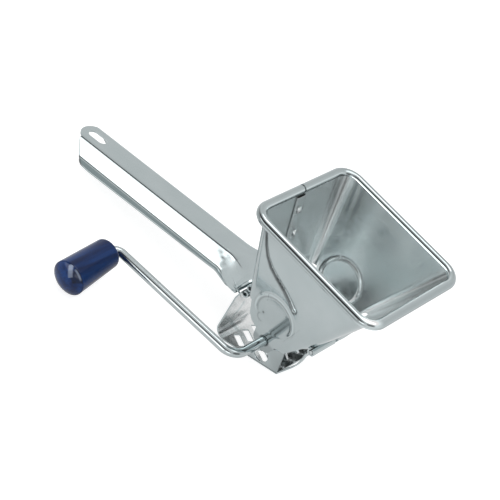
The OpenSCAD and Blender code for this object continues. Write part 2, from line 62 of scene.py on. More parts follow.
# Hopper: half width at the crank, lower end of the front and rear walls and their places there, cheeks,
# and its corners' radius at a low height
THROAT, WALL_END, REAR_END, FRONT_END, CHEEK_R = 23.8, 19.5, 20.8, 22.6, 7.0
CORNER_R, CORNER_Z = 3, -9
# Handle: reach, top, rise, lean of its sides, depth, lips at the free end and the hopper's end, hanging slot
REACH, H_TOP, H_RISE, H_LEAN, H_DEEP0, H_DEEP1 = 159.0, 14.4, 10.2, 4.0, 10.2, 11.0
LIP0, LIP1, SLOT_L, SLOT_W, SLOT_INSET = 5.0, 2.2, 12.0, 5.4, 4.5
# Crank: arm, its place and lean, the two bends, lean and droop of the knob's leg, then the knob and the wire
ARM, ARM_Y, ARM_LEAN, HUB_R, KNOB_R0, LEAN, DROOP = 86.4, 46.9, 2.0, 7.6, 4.7, 7.0, 4.8
KNOB_LEN, KNOB_D, KNOB_NECK, KNOB_GAP, CAP, WIRE, BUSH_OUT = 32.5, 18.8, 16.0, 0.6, 1.6, 4.9, 1.5
BORE = WIRE / 2 + 0.72
# Shell: pocket, rise of its floor, the floor's end, the front strips, its play between the cheeks, slots,
# the pocket's upper bend and the upper corners of its ends
POCKET_X, POCKET_Z, POCKET_R, RISE, TIP_X, FRONT_X, STRIP = 26.0, 23.2, 5.4, 18.0, 14.2, 21.2, 2.8
SHELL_PLAY, SLANT, SLOT_PITCH, SLOT_ROWS, END_HOLE = 0.6, 33.0, 7.0, (5.3, 21.3), 4.5
SLOT_HALF = (5.0, 1.65, 0.5)
POCKET_TOP, END_TOP = 3.9, ((-5, -7.8), (11.5, 1.6))
# Rolled edges and hinge: radius, the pin's place, the knuckles' length and radius, window in the front wall
ROLL_R, HINGE, KNUCKLE, KNUCKLE_R = 2.2, (FRONT_END + 1.6, WALL_END), 17, 2.3
TAB_HALF, TAB_R, WINDOW_HALF, WINDOW_TOP = 7, 1.9, 8.93, 21.8
UP_ROLL = (-REAR_END - 0.7, WALL_END - 4.8)
LOW_ROLL = (UP_ROLL[0] - 0.8, UP_ROLL[1] - 2 * ROLL_R - 0.3)

TOP_HALF = RIM_WID / 2 - RIM_D / 2 + WALL
REAR_TOP = RIM_X - RIM_LEN / 2 + RIM_D / 2 - WALL
FRONT_TOP = RIM_X + RIM_LEN / 2 - RIM_D / 2 + WALL
REAR_FOOT = UP_ROLL[1] + ROLL_R - 1.3

# Outsides of the hopper's walls at a height, below its rim


def half_at(z):
    return THROAT + z * (TOP_HALF - THROAT) / RIM_Z


def rear_at(z):
    return -REAR_END + (REAR_TOP + REAR_END) * (z - WALL_END) / (RIM_Z - WALL_END)


def front_at(z):
    return FRONT_END + (FRONT_TOP - FRONT_END) * (z - WALL_END) / (RIM_Z - WALL_END)


ROOT_X, ROOT_TOP = -REAR_END - 3.4, 13.4
SHELL_HALF = half_at(-CHEEK_R) - WALL - SHELL_PLAY
SIN, COS = (lambda d: math.sin(math.radians(d))), (lambda d: math.cos(math.radians(d)))
HUB_TURN, KNOB_TURN = 90 + ARM_LEAN, 90 + LEAN
HUB_LEAD, KNOB_LEAD = (r * math.tan(math.radians(a / 2)) for r, a in ((HUB_R, HUB_TURN), (KNOB_R0, KNOB_TURN)))


def top_z(x):
    """Height of the handle's top."""
    return ROOT_TOP + (x - ROOT_X) * math.tan(math.radians(H_RISE))


def at(x, y, z):
    """Metres in the shared frame from millimetres from the crank axis."""
    return (AXIS.x + x / 1000, AXIS.y + y / 1000, AXIS.z + z / 1000)


def smooth(t):
    t = max(0.0, min(1.0, t))
    return t * t * (3 - 2 * t)


def bump_at(d, width):
    return math.exp(-((d / width) ** 2))


def marks(d, *rows):
    """Soft lines at a distance: each row has a place, a half width and a strength."""
    return sum(strength * bump_at(d - place, width) for place, width, strength in rows)


def steps(n):
    return [i / n for i in range(n + 1)]


# Camera, from points measured in the photograph: turn, height and roll in degrees, pixels for the lens
CAM_AZ, CAM_EL, CAM_ROLL, CAM_F, CAM_DIST = 22.17, 39.87, 31.54, 1700.0, 0.850
CAM_CX, CAM_CY, PICTURE, SENSOR = 293.53, 324.09, 500.0, 36.0


def make_camera():
    back = Vector((SIN(CAM_AZ) * COS(CAM_EL), -COS(CAM_AZ) * COS(CAM_EL), SIN(CAM_EL)))
    right = Vector((0, 0, 1)).cross(back).normalized()
    up = back.cross(right)
    r, u = COS(CAM_ROLL) * right + SIN(CAM_ROLL) * up, COS(CAM_ROLL) * up - SIN(CAM_ROLL) * right
    ox, oy = ((c - PICTURE / 2) / CAM_F * CAM_DIST for c in (CAM_CX, CAM_CY))
    place = AXIS - ox * r + oy * u + CAM_DIST * back
    camera = bpy.data.objects.new("camera", bpy.data.cameras.new("camera"))
    scene.collection.objects.link(camera)
    turn = Matrix((r, u, back)).transposed().to_4x4()
    camera.matrix_world = Matrix.Translation(place) @ turn
    camera.data.sensor_width = SENSOR
    camera.data.lens = CAM_F / PICTURE * SENSOR
    camera.data.clip_start, camera.data.clip_end = 0.01, 20.0
    scene.camera = camera


make_camera()

# Materials: scales of their noise and depths of the fine grain, the lightest colour that painted light may reach,
# and the knob's reflection
SMUDGE, GLOSS, SLOW_WAVE, GRAIN, STREAK, SKIN = 55, 160, 38, 700, 260, 420
GRAIN_DEPTH, SKIN_DEPTH = 0.0000006, 0.000005
LIGHTEST = (0.97, 0.98, 0.98)
WINDOW_BLUE = (0.30, 0.36, 0.50, 1)


def new_material(name):
    m = bpy.data.materials.new(name)
    m.use_nodes = True
    return m, m.node_tree.nodes, m.node_tree.links, m.node_tree.nodes["Principled BSDF"]


def link_noise(n, k, scale, detail, stretch=(1, 1, 1)):
    coords = n.new("ShaderNodeTexCoord")
    mapping = n.new("ShaderNodeMapping")
    mapping.inputs["Scale"].default_value = stretch
    noise = n.new("ShaderNodeTexNoise")
    noise.inputs["Scale"].default_value = scale
    noise.inputs["Detail"].default_value = detail
    k.new(coords.outputs["Object"], mapping.inputs["Vector"])
    k.new(mapping.outputs["Vector"], noise.inputs["Vector"])
    return noise


def ramp(n, k, noise, stops):
    r = n.new("ShaderNodeValToRGB")
    while len(r.color_ramp.elements) < len(stops):
        r.color_ramp.elements.new(0.5)
    for e, (pos, c) in zip(r.color_ramp.elements, stops):
        e.position = pos
        e.color = (*c, 1)
    k.new(noise.outputs["Fac"], r.inputs["Fac"])
    return r


def gloss(n, k, b, scale, detail, low, high):
    """Roughness that wanders between two levels."""
    r = ramp(n, k, link_noise(n, k, scale, detail), [(0.3, (low,) * 3), (0.72, (high,) * 3)])
    k.new(r.outputs["Color"], b.inputs["Roughness"])


def uneven(n, k, noise, strength, distance, below=None):
    """Normals of a slightly uneven surface, on top of another's."""
    b = n.new("ShaderNodeBump")
    b.inputs["Strength"].default_value = strength
    b.inputs["Distance"].default_value = distance
    k.new(noise.outputs["Fac"], b.inputs["Height"])
    if below:
        k.new(below, b.inputs["Normal"])
    return b.outputs["Normal"]


def toned(n, k, color, attribute):
    """A colour made darker by a mesh attribute, for painted shade and painted light: 0 leaves it, 1 is black, below
    0 is lighter.
    """
    a, m = n.new("ShaderNodeAttribute"), n.new("ShaderNodeMath")
    a.attribute_name = attribute
    m.operation = "SUBTRACT"
    m.inputs[0].default_value = 1.0
    k.new(a.outputs["Fac"], m.inputs[1])
    scale, limit = n.new("ShaderNodeVectorMath"), n.new("ShaderNodeVectorMath")
    scale.operation, limit.operation = "SCALE", "MINIMUM"
    limit.inputs[1].default_value = LIGHTEST
    k.new(color, scale.inputs[0])
    k.new(m.outputs[0], scale.inputs["Scale"])
    k.new(scale.outputs["Vector"], limit.inputs[0])
    return limit.outputs["Vector"]


def steel(name, dark, light, rough, wave=0.000012, grain=(1, 1, 1), attribute="dark"):
    """Polished sheet: faint smudges in colour and gloss, a slow wave in the sheet and a fine grain, with painted
    shade and light from a mesh attribute.
    """
    m, n, k, b = new_material(name)
    b.inputs["Metallic"].default_value = 1.0
    c = ramp(n, k, link_noise(n, k, SMUDGE, 4), [(0.3, dark), (0.7, light)])
    k.new(toned(n, k, c.outputs["Color"], attribute), b.inputs["Base Color"])
    gloss(n, k, b, GLOSS, 5, rough * 0.85, rough * 1.2)
    slow = uneven(n, k, link_noise(n, k, SLOW_WAVE, 1), 1.0, wave)
    k.new(uneven(n, k, link_noise(n, k, GRAIN, 2, grain), 0.3, GRAIN_DEPTH, slow), b.inputs["Normal"])
    return m


def plastic(name, dark, light):
    """Dark gloss plastic with faint lengthwise streaks; the attribute shine draws a painted reflection, the
    attribute dark painted shade and light.
    """
    m, n, k, b = new_material(name)
    b.inputs["IOR"].default_value = 1.36
    c = ramp(n, k, link_noise(n, k, STREAK, 3, (1, 0.09, 1)), [(0.36, dark), (0.64, light)])
    shine, mix = n.new("ShaderNodeAttribute"), n.new("ShaderNodeMix")
    shine.attribute_name = "shine"
    mix.data_type = "RGBA"
    mix.inputs[7].default_value = WINDOW_BLUE
    k.new(shine.outputs["Fac"], mix.inputs[0])
    k.new(toned(n, k, c.outputs["Color"], "dark"), mix.inputs[6])
    k.new(mix.outputs[2], b.inputs["Base Color"])
    gloss(n, k, b, SKIN, 4, 0.08, 0.16)
    k.new(uneven(n, k, link_noise(n, k, GRAIN, 3), 0.3, SKIN_DEPTH), b.inputs["Normal"])
    return m


SHEET = steel("sheet_steel", (0.51, 0.575, 0.585), (0.56, 0.62, 0.63), 0.13)
# Painted light: a much lighter copy of the sheet steel for the inner faces, which lie in shade; dark_in paints more
# shade and light on it
INSIDE = steel("sheet_inside_painted_light", (0.755, 0.805, 0.81), (0.805, 0.85, 0.855), 0.22, 0.000004, attribute="dark_in")
WIRE_STEEL = steel("wire_steel", (0.50, 0.555, 0.565), (0.56, 0.61, 0.62), 0.12, 0.000006, (1, 6, 1))
PLAIN = steel("plain_steel", (0.50, 0.54, 0.55), (0.60, 0.64, 0.65), 0.26)
DARK = steel("shaded_steel", (0.20, 0.23, 0.235), (0.28, 0.31, 0.315), 0.3)
# Cutters and comb: ground steel, made lighter than the sheet as painted light so that they show light inside the
# shaded trough
CUTTER = steel("cutter_steel", (0.66, 0.70, 0.71), (0.76, 0.80, 0.81), 0.22, 0.00001, (8, 1, 8))
BLUE = plastic("knob_blue", (0.0012, 0.0115, 0.062), (0.0045, 0.034, 0.145))

# Mesh tools


def add(name, verts, faces, material, body, replaces=(), slot="polished_steel", outward=True):
    """A smooth mesh object from points in millimetres, with notes for settle."""
    mesh = bpy.data.meshes.new(name)
    mesh.from_pydata([at(*v) for v in verts], [], faces)
    mesh.update()
    mesh.shade_smooth()
    mesh.materials.append(material)
    o = bpy.data.objects.new(name, mesh)
    scene.collection.objects.link(o)
    o["body"], o["slot"], o["replaces"] = body, slot, ",".join(replaces)
    if outward:
        fix_normals(o)
    return o


def paint(o, **tones):
    """Writes mesh attributes, one value for each point, from functions of its place from the crank axis."""
    for key, f in tones.items():
        layer = o.data.attributes.new(key, "FLOAT", "POINT")
        for i, v in enumerate(o.data.vertices):
            c = v.co
            layer.data[i].value = f((c.x - AXIS.x) * 1000, (c.y - AXIS.y) * 1000, (c.z - AXIS.z) * 1000)


def settle(o):
    """Puts a finished piece on its body."""
    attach(o, o["body"])
    if o["replaces"]:
        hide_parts(*o["replaces"].split(","))
    for key in ("body", "slot", "replaces"):
        del o[key]
    return o


def bake(o):
    """Applies the modifiers of an object to its mesh."""
    bpy.context.view_layer.update()
    graph = bpy.context.evaluated_depsgraph_get()
    mesh = bpy.data.meshes.new_from_object(o.evaluated_get(graph), depsgraph=graph)
    o.modifiers.clear()
    o.data = mesh
    return o


def thicken(o, t, offset=-1.0, inner=None):
    """Gives a sheet its thickness, and its inner face a material of its own."""
    s = o.modifiers.new("thick", "SOLIDIFY")
    s.thickness, s.offset, s.use_even_offset = t / 1000, offset, True
    if inner:
        o.data.materials.append(inner)
        s.material_offset = 1
    return o


def angle_smooth(o, degrees):
    bpy.context.view_layer.objects.active = o
    for other in bpy.context.selected_objects:
        other.select_set(False)
    o.select_set(True)
    bpy.ops.object.shade_smooth_by_angle(angle=math.radians(degrees))
    o.select_set(False)
    return o


def cut(o, *tools):
    """Takes tools out of an object and deletes them."""
    for t in tools:
        m = o.modifiers.new("cut", "BOOLEAN")
        m.operation, m.solver, m.object = "DIFFERENCE", "EXACT", t
        bake(o)
        bpy.data.objects.remove(t)
    return o


def grid_faces(rows, cols, closed=False, flip=False):
    """Four-sided faces of a grid of points; closed joins its last column to its first."""
    out = []
    for i in range(rows - 1):
        for j in range(cols if closed else cols - 1):
            a, b = i * cols + j, i * cols + (j + 1) % cols
            q = (a, b, b + cols, a + cols)
            out.append(q[::-1] if flip else q)
    return out


def join(name, parts):
    """One mesh object out of several."""
    bm = bmesh.new()
    keep = parts[0]
    for p in parts:
        bm.from_mesh(p.data)
    mesh = bpy.data.meshes.new(name)
    bm.to_mesh(mesh)
    bm.free()
    for m in keep.data.materials:
        mesh.materials.append(m)
    keep.data = mesh
    for p in parts[1:]:
        bpy.data.objects.remove(p)
    return keep


def sweep(name, path, normal, radius, material, body, sides=28, ends=True, **more):
    """A round wire or tube along a flat path; normal is the direction square to the path's plane."""
    normal = Vector(normal).normalized()
    pts = [Vector(p) for p in path]
    verts, tangents = [], []
    for i in range(len(pts)):
        a, b = pts[max(i - 1, 0)], pts[min(i + 1, len(pts) - 1)]
        tangents.append((b - a).normalized())
    stations = [(p, t, radius) for p, t in zip(pts, tangents)]
    if ends:
        round_end = ((0.25, 0.55), (0.25 * 0.75, 0.85))
        first, last = tangents[0], tangents[-1]
        cap0 = [(pts[0] - first * radius * s, first, radius * c) for s, c in round_end]
        cap1 = [(pts[-1] + last * radius * s, last, radius * c) for s, c in round_end[::-1]]
        stations = cap0 + stations + cap1
    for p, t, r in stations:
        side = t.cross(normal).normalized()
        verts += ring(p, side, side.cross(t), r, sides)
    n = len(stations)
    faces = grid_faces(n, sides, closed=True, flip=True)
    if ends:
        faces.append(tuple(range(sides)))
        faces.append(tuple((n - 1) * sides + k for k in range(sides))[::-1])
    return add(name, verts, faces, material, body, **more)


def ring(centre, u, w, r, sides):
    """Points of a circle, from two directions square to each other."""
    turns = [2 * math.pi * k / sides for k in range(sides)]
    return [centre + u * (r * math.cos(a)) + w * (r * math.sin(a)) for a in turns]


def fix_normals(o):
    bm = bmesh.new()
    bm.from_mesh(o.data)
    bmesh.ops.recalc_face_normals(bm, faces=bm.faces)
    bm.to_mesh(o.data)
    bm.free()


def arc(cx, cy, r, a0, a1, n):
    return [(cx + r * COS(a0 + (a1 - a0) * i / n), cy + r * SIN(a0 + (a1 - a0) * i / n)) for i in range(n + 1)]


def line(a, b, n):
    return [tuple(a[k] + (b[k] - a[k]) * i / n for k in range(len(a))) for i in range(n + 1)]


# Hopper sheet: columns round the walls, each from the lower outline up to the rim
FOOT = [(-80, REAR_FOOT), (rear_at(REAR_FOOT), REAR_FOOT), (-17.5, REAR_FOOT - 3), (-11, 4.5), (0, 0), (12.5, 4),
        (front_at(WALL_END) - 3.4, WALL_END - 3), (front_at(WALL_END) + 0.1, WALL_END), (80, WALL_END)]


def foot(x):
    """Height of the near and far walls' lower outline."""
    if abs(x) < CHEEK_R - 0.02:
        return -math.sqrt(CHEEK_R ** 2 - x * x)
    for a, b in zip(FOOT, FOOT[1:]):
        if a[0] <= x <= b[0]:
            return a[1] + (b[1] - a[1]) * (x - a[0]) / (b[0] - a[0])
    return WALL_END


# The long crease on the near wall: X, Z and half width along it
CREASE = [(-26.0, 63.0, 0.5), (-24.3, 59.0, 0.6), (-21.4, 52.5, 0.9), (-18.2, 47.5, 1.2), (-14.0, 43.6, 1.6),
          (-8.6, 41.0, 1.8), (-2.6, 38.6, 1.9), (2.8, 35.6, 2.0), (6.2, 33.2, 2.1)]
CREASE_TIP = (6.4, 33.0)
# The pressed ring: middle, radius and how much the wall's lean stretches it; the hook and the dot inside it
RING_C, RING_R, RING_STRETCH = (-1.0, 19.0), 12.0, 1.015
HOOK, HOOK_R, DOT = (-7.0, 11.6), 2.5, (-7.4, 15.3)
# Height and half width of both rings, depth of the dish inside them, and the front wall's belly
NEAR_RING, FAR_RING, DISH, BELLY = (0.55, 0.95), (0.7, 0.9), 0.15, 0.9


def crease_place(x, z):
    """Distance from the crease, the side it lies on and the half width there."""
    best, side, width = 1e9, 1, 1.0
    for (ax, az, aw), (bx, bz, bw) in zip(CREASE, CREASE[1:]):
        dx, dz = bx - ax, bz - az
        t = max(0.0, min(1.0, ((x - ax) * dx + (z - az) * dz) / (dx * dx + dz * dz)))
        d = math.hypot(x - ax - dx * t, z - az - dz * t)
        if d < best:
            best, width = d, aw + (bw - aw) * t
            side = 1 if dx * (z - az) - dz * (x - ax) > 0 else -1
    return best, side, width


def crease_depth(x, z):
    """A groove with a steep lower-left flank and a gentle upper-right one, round at its end."""
    best, side, width = crease_place(x, z)
    deep = min(1.25, 0.35 + width * 0.45)
    reach = width * (1.05 if side > 0 else 0.5)
    return deep * (1 - smooth(best / max(reach, 0.45)))


def ring_seen(x, z):
    """The near ring fades out at its lower side."""
    return smooth((z - 11.5 - 0.25 * max(x, 0.0)) / 4.5)


def ring_place(x, z):
    """Distance outside the ring's line, and the direction from its middle."""
    dx, dz = x - RING_C[0], z - RING_C[1]
    return math.hypot(dx, dz * RING_STRETCH) - RING_R, math.atan2(dz, dx)


def relief(kind, x, y, z):
    """How far the sheet stands out of its plane, in mm, outward positive."""
    out = 0.0
    if kind in ("near", "far"):
        lean = math.hypot(1, (TOP_HALF - THROAT) / RIM_Z)
        d = math.hypot(x - RING_C[0], (z - RING_C[1]) * lean) - RING_R
        tall, wide = NEAR_RING if kind == "near" else FAR_RING
        seen = ring_seen(x, z) if kind == "near" else 1.0
        out += tall * seen * bump_at(d, wide) - DISH * (1 - smooth((d + 1) / 2))
    if kind == "near":
        out -= crease_depth(x, z)
    if kind == "front":
        out += BELLY * math.sin(math.pi * max(0, min(1, (z - 20) / 45))) * (1 - (y / half_at(z)) ** 2)
    return out


def outer_tone(x, y, z):
    """Near wall, painted reflections and shade: dark flanks and light lines of the crease, a light spot at its end,
    outlines of ring, hook and dot, darker cheek and upper part.
    """
    if y > -THROAT + 1.5:
        return 0.0
    best, side, width = crease_place(x, z)
    wide = smooth((width - 1.1) / 0.7)
    out = marks(best * side, (-0.2 - 0.4 * width, 0.58 + 0.16 * wide, 0.68), (-0.2, 0.5 + 0.5 * width, 0.16),
                (0.8 * width, 0.42, 0.42 * wide), (0.15, 0.7, -0.16 * wide))
    tip = math.hypot(x - CREASE_TIP[0], z - CREASE_TIP[1])
    out += marks(tip, (1.75, 0.45, 0.45 * smooth((x - 5.6) / 1.2)), (0, 0.85, -0.75))
    r, turn = ring_place(x, z)
    inward = 0.30 + 0.14 * (0.5 + 0.5 * math.cos(turn))
    out += ring_seen(x, z) * marks(r, (1.2, 0.5, 0.12), (-1.05, 0.5, inward), (0.1, 0.45, -0.22))
    hook = math.hypot(x - HOOK[0], z - HOOK[1])
    out += 0.24 * bump_at(hook - HOOK_R, 0.45) * smooth((-5.2 - x) / 1.5) * smooth((14.5 - z) / 2)
    out += 0.75 * bump_at(math.hypot(x - DOT[0], z - DOT[1]), 0.65)
    out += 0.24 * smooth((1.5 - z) / 2.0) + 0.12 * smooth((z - 44) / 22) * smooth((8 - x) / 30)
    return out


def inner_tone(x, y, z):
    """Inside, painted light, shade and reflections: lighter low down and in front, outline of the far ring, bright
    lines in the far rear corner, darker by the rear wall.
    """
    half, rear = half_at(z), rear_at(z)
    out = -0.19 * (1 - smooth((z - 14) / 44))
    if y > half - 3.5:
        r, turn = ring_place(x, z)
        out += marks(r, (1.25, 0.42, 0.34), (-1.15, 0.45, 0.42 + 0.1 * math.sin(turn)), (0, 0.5, -0.14))
        out += smooth((z - 44) / 10) * marks(x - rear, (8.2, 0.8, 0.30), (10.2, 0.9, -0.4), (12.6, 1.0, 0.2))
    if x > front_at(z) - 3.0:
        out -= 0.30 + 0.2 * bump_at(y - 4, 7)
    if x < rear + 8 and y > half - 8:
        corner = (y - half) + (x - rear) - 0.06 * (half - 24)
        out += marks(corner, (-1.2, 1.0, 0.14), (0, 0.45, -0.34 * smooth((z - 8) / 10)), (1.3, 0.7, 0.20))
    elif x < rear + 3.0:
        out += 0.28
    return out


def hopper_columns():
    """Columns of the sheet in order round the walls and the corners c0 to c3: the wall and a place along it."""
    span = half_at(WALL_END) - 4.2
    edge, inner = WINDOW_HALF / span, (WINDOW_HALF - 0.06) / span
    front = sorted([-1, 1, -edge, edge, -inner, inner] + [i / 18 for i in range(-17, 18)])
    corner = steps(13)[1:-1]
    walls = (("near", steps(190)), ("c0", corner), ("front", front), ("c1", corner),
             ("far", [1 - t for t in steps(110)]), ("c2", corner),
             ("rear", [-i / 20 for i in range(-20, 21)]), ("c3", corner))
    return [(kind, t) for kind, places in walls for t in places]


def hopper_point(kind, t, z):
    """Place of a column at a height, and the direction out of the sheet."""
    x0, x1, h = rear_at(z), front_at(z), half_at(z)
    r = CORNER_R + (RIM_R - RIM_D / 2 + WALL - CORNER_R) * (z - CORNER_Z) / (RIM_Z - CORNER_Z)
    if kind in ("near", "far"):
        out = -1 if kind == "near" else 1
        return x0 + r + (x1 - x0 - 2 * r) * t, out * h, (0, out)
    if kind in ("front", "rear"):
        return (x1, (h - r) * t, (1, 0)) if kind == "front" else (x0, (h - r) * t, (-1, 0))
    k = int(kind[1])
    a = (-90, 0, 90, 180)[k] + 90 * t
    cx, cy = ((x1 - r, -h + r), (x1 - r, h - r), (x0 + r, h - r), (x0 + r, -h + r))[k]
    return cx + r * COS(a), cy + r * SIN(a), (COS(a), SIN(a))


def column_foot(kind, t):
    """Lower end of a column, found in rounds because the walls lean."""
    z = WALL_END
    for _ in range(12):
        x, y = hopper_point(kind, t, z)[:2]
        if kind in ("rear", "c2", "c3"):
            z = REAR_FOOT
        elif kind == "front":
            z = WINDOW_TOP if abs(y) < WINDOW_HALF else WALL_END
        else:
            z = foot(x)
    return z


def hopper():
    """The hopper's sheet with its relief, painted light and shade, and bores."""
    cols, rows = hopper_columns(), 170
    lows = [column_foot(kind, t) for kind, t in cols]
    verts = []
    for f in steps(rows - 1):
        for (kind, t), low in zip(cols, lows):
            z = low + (RIM_Z - low) * f
            x, y, n = hopper_point(kind, t, z)
            d = relief(kind, x, y, z) if 0.0 < f < 0.97 else 0.0
            verts.append((x + n[0] * d, y + n[1] * d, z))
    o = add("hopper_sheet", verts, grid_faces(rows, len(cols), closed=True), SHEET, "frame", replaces=("hopper",))
    paint(o, dark=outer_tone, dark_in=inner_tone)
    angle_smooth(bake(thicken(o, WALL, inner=INSIDE)), 60)
    ends = half_at(0) - 4, half_at(0) + 4
    return cut(o, *[cylinder_tool((0, s * ends[0], 0), (0, s * ends[1], 0), BORE) for s in (-1, 1)])


def cylinder_tool(a, b, r, sides=40):
    a, b = Vector(a), Vector(b)
    t = (b - a).normalized()
    u = t.orthogonal().normalized()
    verts = [v for p in (a, b) for v in ring(p, u, t.cross(u), r, sides)]
    faces = grid_faces(2, sides, closed=True)
    faces += [tuple(range(sides))[::-1], tuple(range(sides, 2 * sides))]
    return add("tool", verts, faces, SHEET, "frame")


def prism_tool(outline, a, b):
    """A prism from an outline of points at a to the same points moved by b."""
    n = len(outline)
    verts = list(outline) + [tuple(p[k] + b[k] for k in range(3)) for p in outline]
    verts = [tuple(v[k] + a[k] for k in range(3)) for v in verts]
    faces = grid_faces(2, n, closed=True) + [tuple(range(n))[::-1], tuple(range(n, 2 * n))]
    return add("tool", verts, faces, SHEET, "frame")


def rolled(name, x, z, r, y0, y1, t, body, turns=330, start=0):
    """A rolled sheet edge along Y: a spiral section with an open lip."""
    section = []
    for f in steps(30):
        a, rr = start + turns * f, r - t * 0.9 * f ** 2
        section.append((x + rr * COS(a), z + rr * SIN(a)))
    ys = [y0, y0 + 0.25] + [y0 + (y1 - y0) * f for f in steps(8)[1:-1]] + [y1 - 0.25, y1]
    verts = [(sx, y, sz) for y in ys for sx, sz in section]
    o = add(name, verts, grid_faces(len(ys), len(section)), SHEET, body)
    return angle_smooth(bake(thicken(o, t)), 40)


def hopper_edges():
    """The knuckles under the front wall and the rolled edge under the rear wall."""
    y = -half_at(WALL_END) + 1.2
    parts = [rolled("roll", *HINGE, KNUCKLE_R, s, s + KNUCKLE, WALL, "frame", 320, 150) for s in (y, -y - KNUCKLE)]
    parts.append(rolled("roll", *UP_ROLL, ROLL_R, -SHELL_HALF, SHELL_HALF, WALL, "frame", 330, 20))
    return join("hopper_rolls", parts)


# Rolled rim with its wire


def rim_path(gap):
    """Middle of the bead, from one side of the seam round to the other; gap is half the seam's width."""
    x0, x1, y = RIM_X - RIM_LEN / 2, RIM_X + RIM_LEN / 2, RIM_WID / 2
    a, b, c = x0 + RIM_R, x1 - RIM_R, y - RIM_R
    pts = line((x0, gap), (x0, c), 14) + arc(a, c, RIM_R, 180, 90, 14)[1:]
    pts += line((a, y), (b, y), 24)[1:] + arc(b, c, RIM_R, 90, 0, 14)[1:]
    pts += line((x1, c), (x1, -c), 24)[1:] + arc(b, -c, RIM_R, 0, -90, 14)[1:]
    pts += line((b, -y), (a, -y), 24)[1:] + arc(a, -c, RIM_R, -90, -180, 14)[1:]
    pts += line((x0, -c), (x0, -gap), 14)[1:]
    return [(px, py, RIM_Z) for px, py in pts]


# Painted reflections along the rolled rim, for each side: angle round its section from the inner side, half width,
# strength
RIM_REFLECTION_LINES = {
    "near": ((137, 10, 0.93), (104, 9, 0.02), (156, 9, 0.36), (192, 42, 0.48)),
    "far": ((44, 9, 0.82), (12, 22, -0.9), (92, 11, 0.36), (66, 8, 0.20)),
    "front": ((61, 9, -0.16), (22, 8, 0.50), (125, 34, 0.10), (188, 24, 0.45)),
    "rear": ((2, 19, 0.96), (42, 9, -0.34), (100, 30, 0.12)),
}


def rim_reflections(x, y, z):
    """Painted reflections: lines along the bead by the direction round its section, passing from side to side in the
    corners.
    """
    dx, dy = x - RIM_X, y
    ex, ey = abs(dx) - (RIM_LEN / 2 - RIM_R), abs(dy) - (RIM_WID / 2 - RIM_R)
    turn = math.degrees(math.atan2(max(ey, 0.0), max(ex, 0.0))) if max(ex, ey) > 0 else 0.0
    part = smooth(turn / 90) if ex > 0 and ey > 0 else (1.0 if ey > ex else 0.0)
    inward = RIM_R - math.hypot(max(ex, 0), max(ey, 0)) if ex > 0 and ey > 0 else RIM_R - max(ex, ey)
    a = math.degrees(math.atan2(z - RIM_Z, inward))
    out = 0.0
    for name, w in (("far" if dy > 0 else "near", part), ("front" if dx > 0 else "rear", 1 - part)):
        out += w * marks(a, *RIM_REFLECTION_LINES[name])
    corner = 4 * part * (1 - part)
    # Painted highlight: a light band round the front near corner
    if dx > 0 and dy < 0:
        out += corner * (-1.1 * bump_at(a - 110, 40) - 0.3)
    return out


def rim():
    o = sweep("rim_bead", rim_path(SEAM_GAP), (0, 0, 1), RIM_D / 2, SHEET, "frame", sides=72, ends=False,
              replaces=("rim_roll",))
    paint(o, dark=rim_reflections)
    settle(angle_smooth(bake(thicken(o, BEAD_WALL)), 50))
    settle(sweep("rim_core", rim_path(CORE_GAP), (0, 0, 1), CORE_R, PLAIN, "frame", sides=16, replaces=("rim_wire",),
                 slot="plain_steel"))


# Strap over the seam: the places of its spot welds in Y and Z
WELDS = [(-3.4, 57.0), (-1.8, 43.5)]


def strap():
    low, high, y0, y1 = WALL_END + 12, RIM_Z - 0.6, -6.5, 0.5
    rows, cols = 110, 30
    verts = []
    for t in steps(rows):
        z = low + (high - low) * t
        for y in (y0 + (y1 - y0) * f for f in steps(cols)):
            lift = WALL * (1 - smooth((abs(y - (y0 + y1) / 2) - 3.0) / 0.5)) * smooth((z - low) / 0.8)
            lift -= sum(marks(math.hypot(y - wy, z - wz), (0, 1.1, 0.75), (2.1, 0.5, -0.25)) for wy, wz in WELDS)
            verts.append((rear_at(z) + WALL + 0.12 + lift, y, z))
    o = add("seam_lap", verts, grid_faces(rows + 1, cols + 1), INSIDE, "frame", replaces=("seam_strap",))

    # Painted shade and highlights: darker overall and along the lap's edge, a dark rim on one side of each weld and
    # a light spot beside it
    def weld_shade_and_highlights(x, y, z):
        out = 0.28 + 0.4 * bump_at(y - y1 + 0.1, 0.5)
        for wy, wz in WELDS:
            d, turn = math.hypot(y - wy, z - wz), math.atan2(z - wz, y - wy)
            out += 0.45 * bump_at(d - 1.2, 0.5) * (0.5 - 0.5 * math.cos(turn - 0.6))
            out -= 0.9 * bump_at(math.hypot(y - wy - 1.1, z - wz - 0.5), 0.9)
        return out

    paint(o, dark_in=weld_shade_and_highlights)
    settle(bake(thicken(o, 0.1, 0)))


# Handle: the fold's and the lip's bends, the free end of the web and of the lip behind the top's round end,
# the bar at the root, where the straight channel ends, and the painted reflections on its side
BEND, LIP_BEND = 1.5, 1.2
WEB_BACK, WEB_SLOPE, LIP_BACK, LIP_ROUND = 3.9, 0.9, 4.85, 7.0
BAR_BACK, BAR_HALF, BAR_Z, BAR_R = 4.3, 19.5, 4.4, 0.9
CHANNEL_END, CHANNEL_LAST = -50.4, -43
DARK_ALMOND_REFLECTION, LIGHT_PATCH_REFLECTION = (-48.6, 4.2), (-42.8, 3.2)


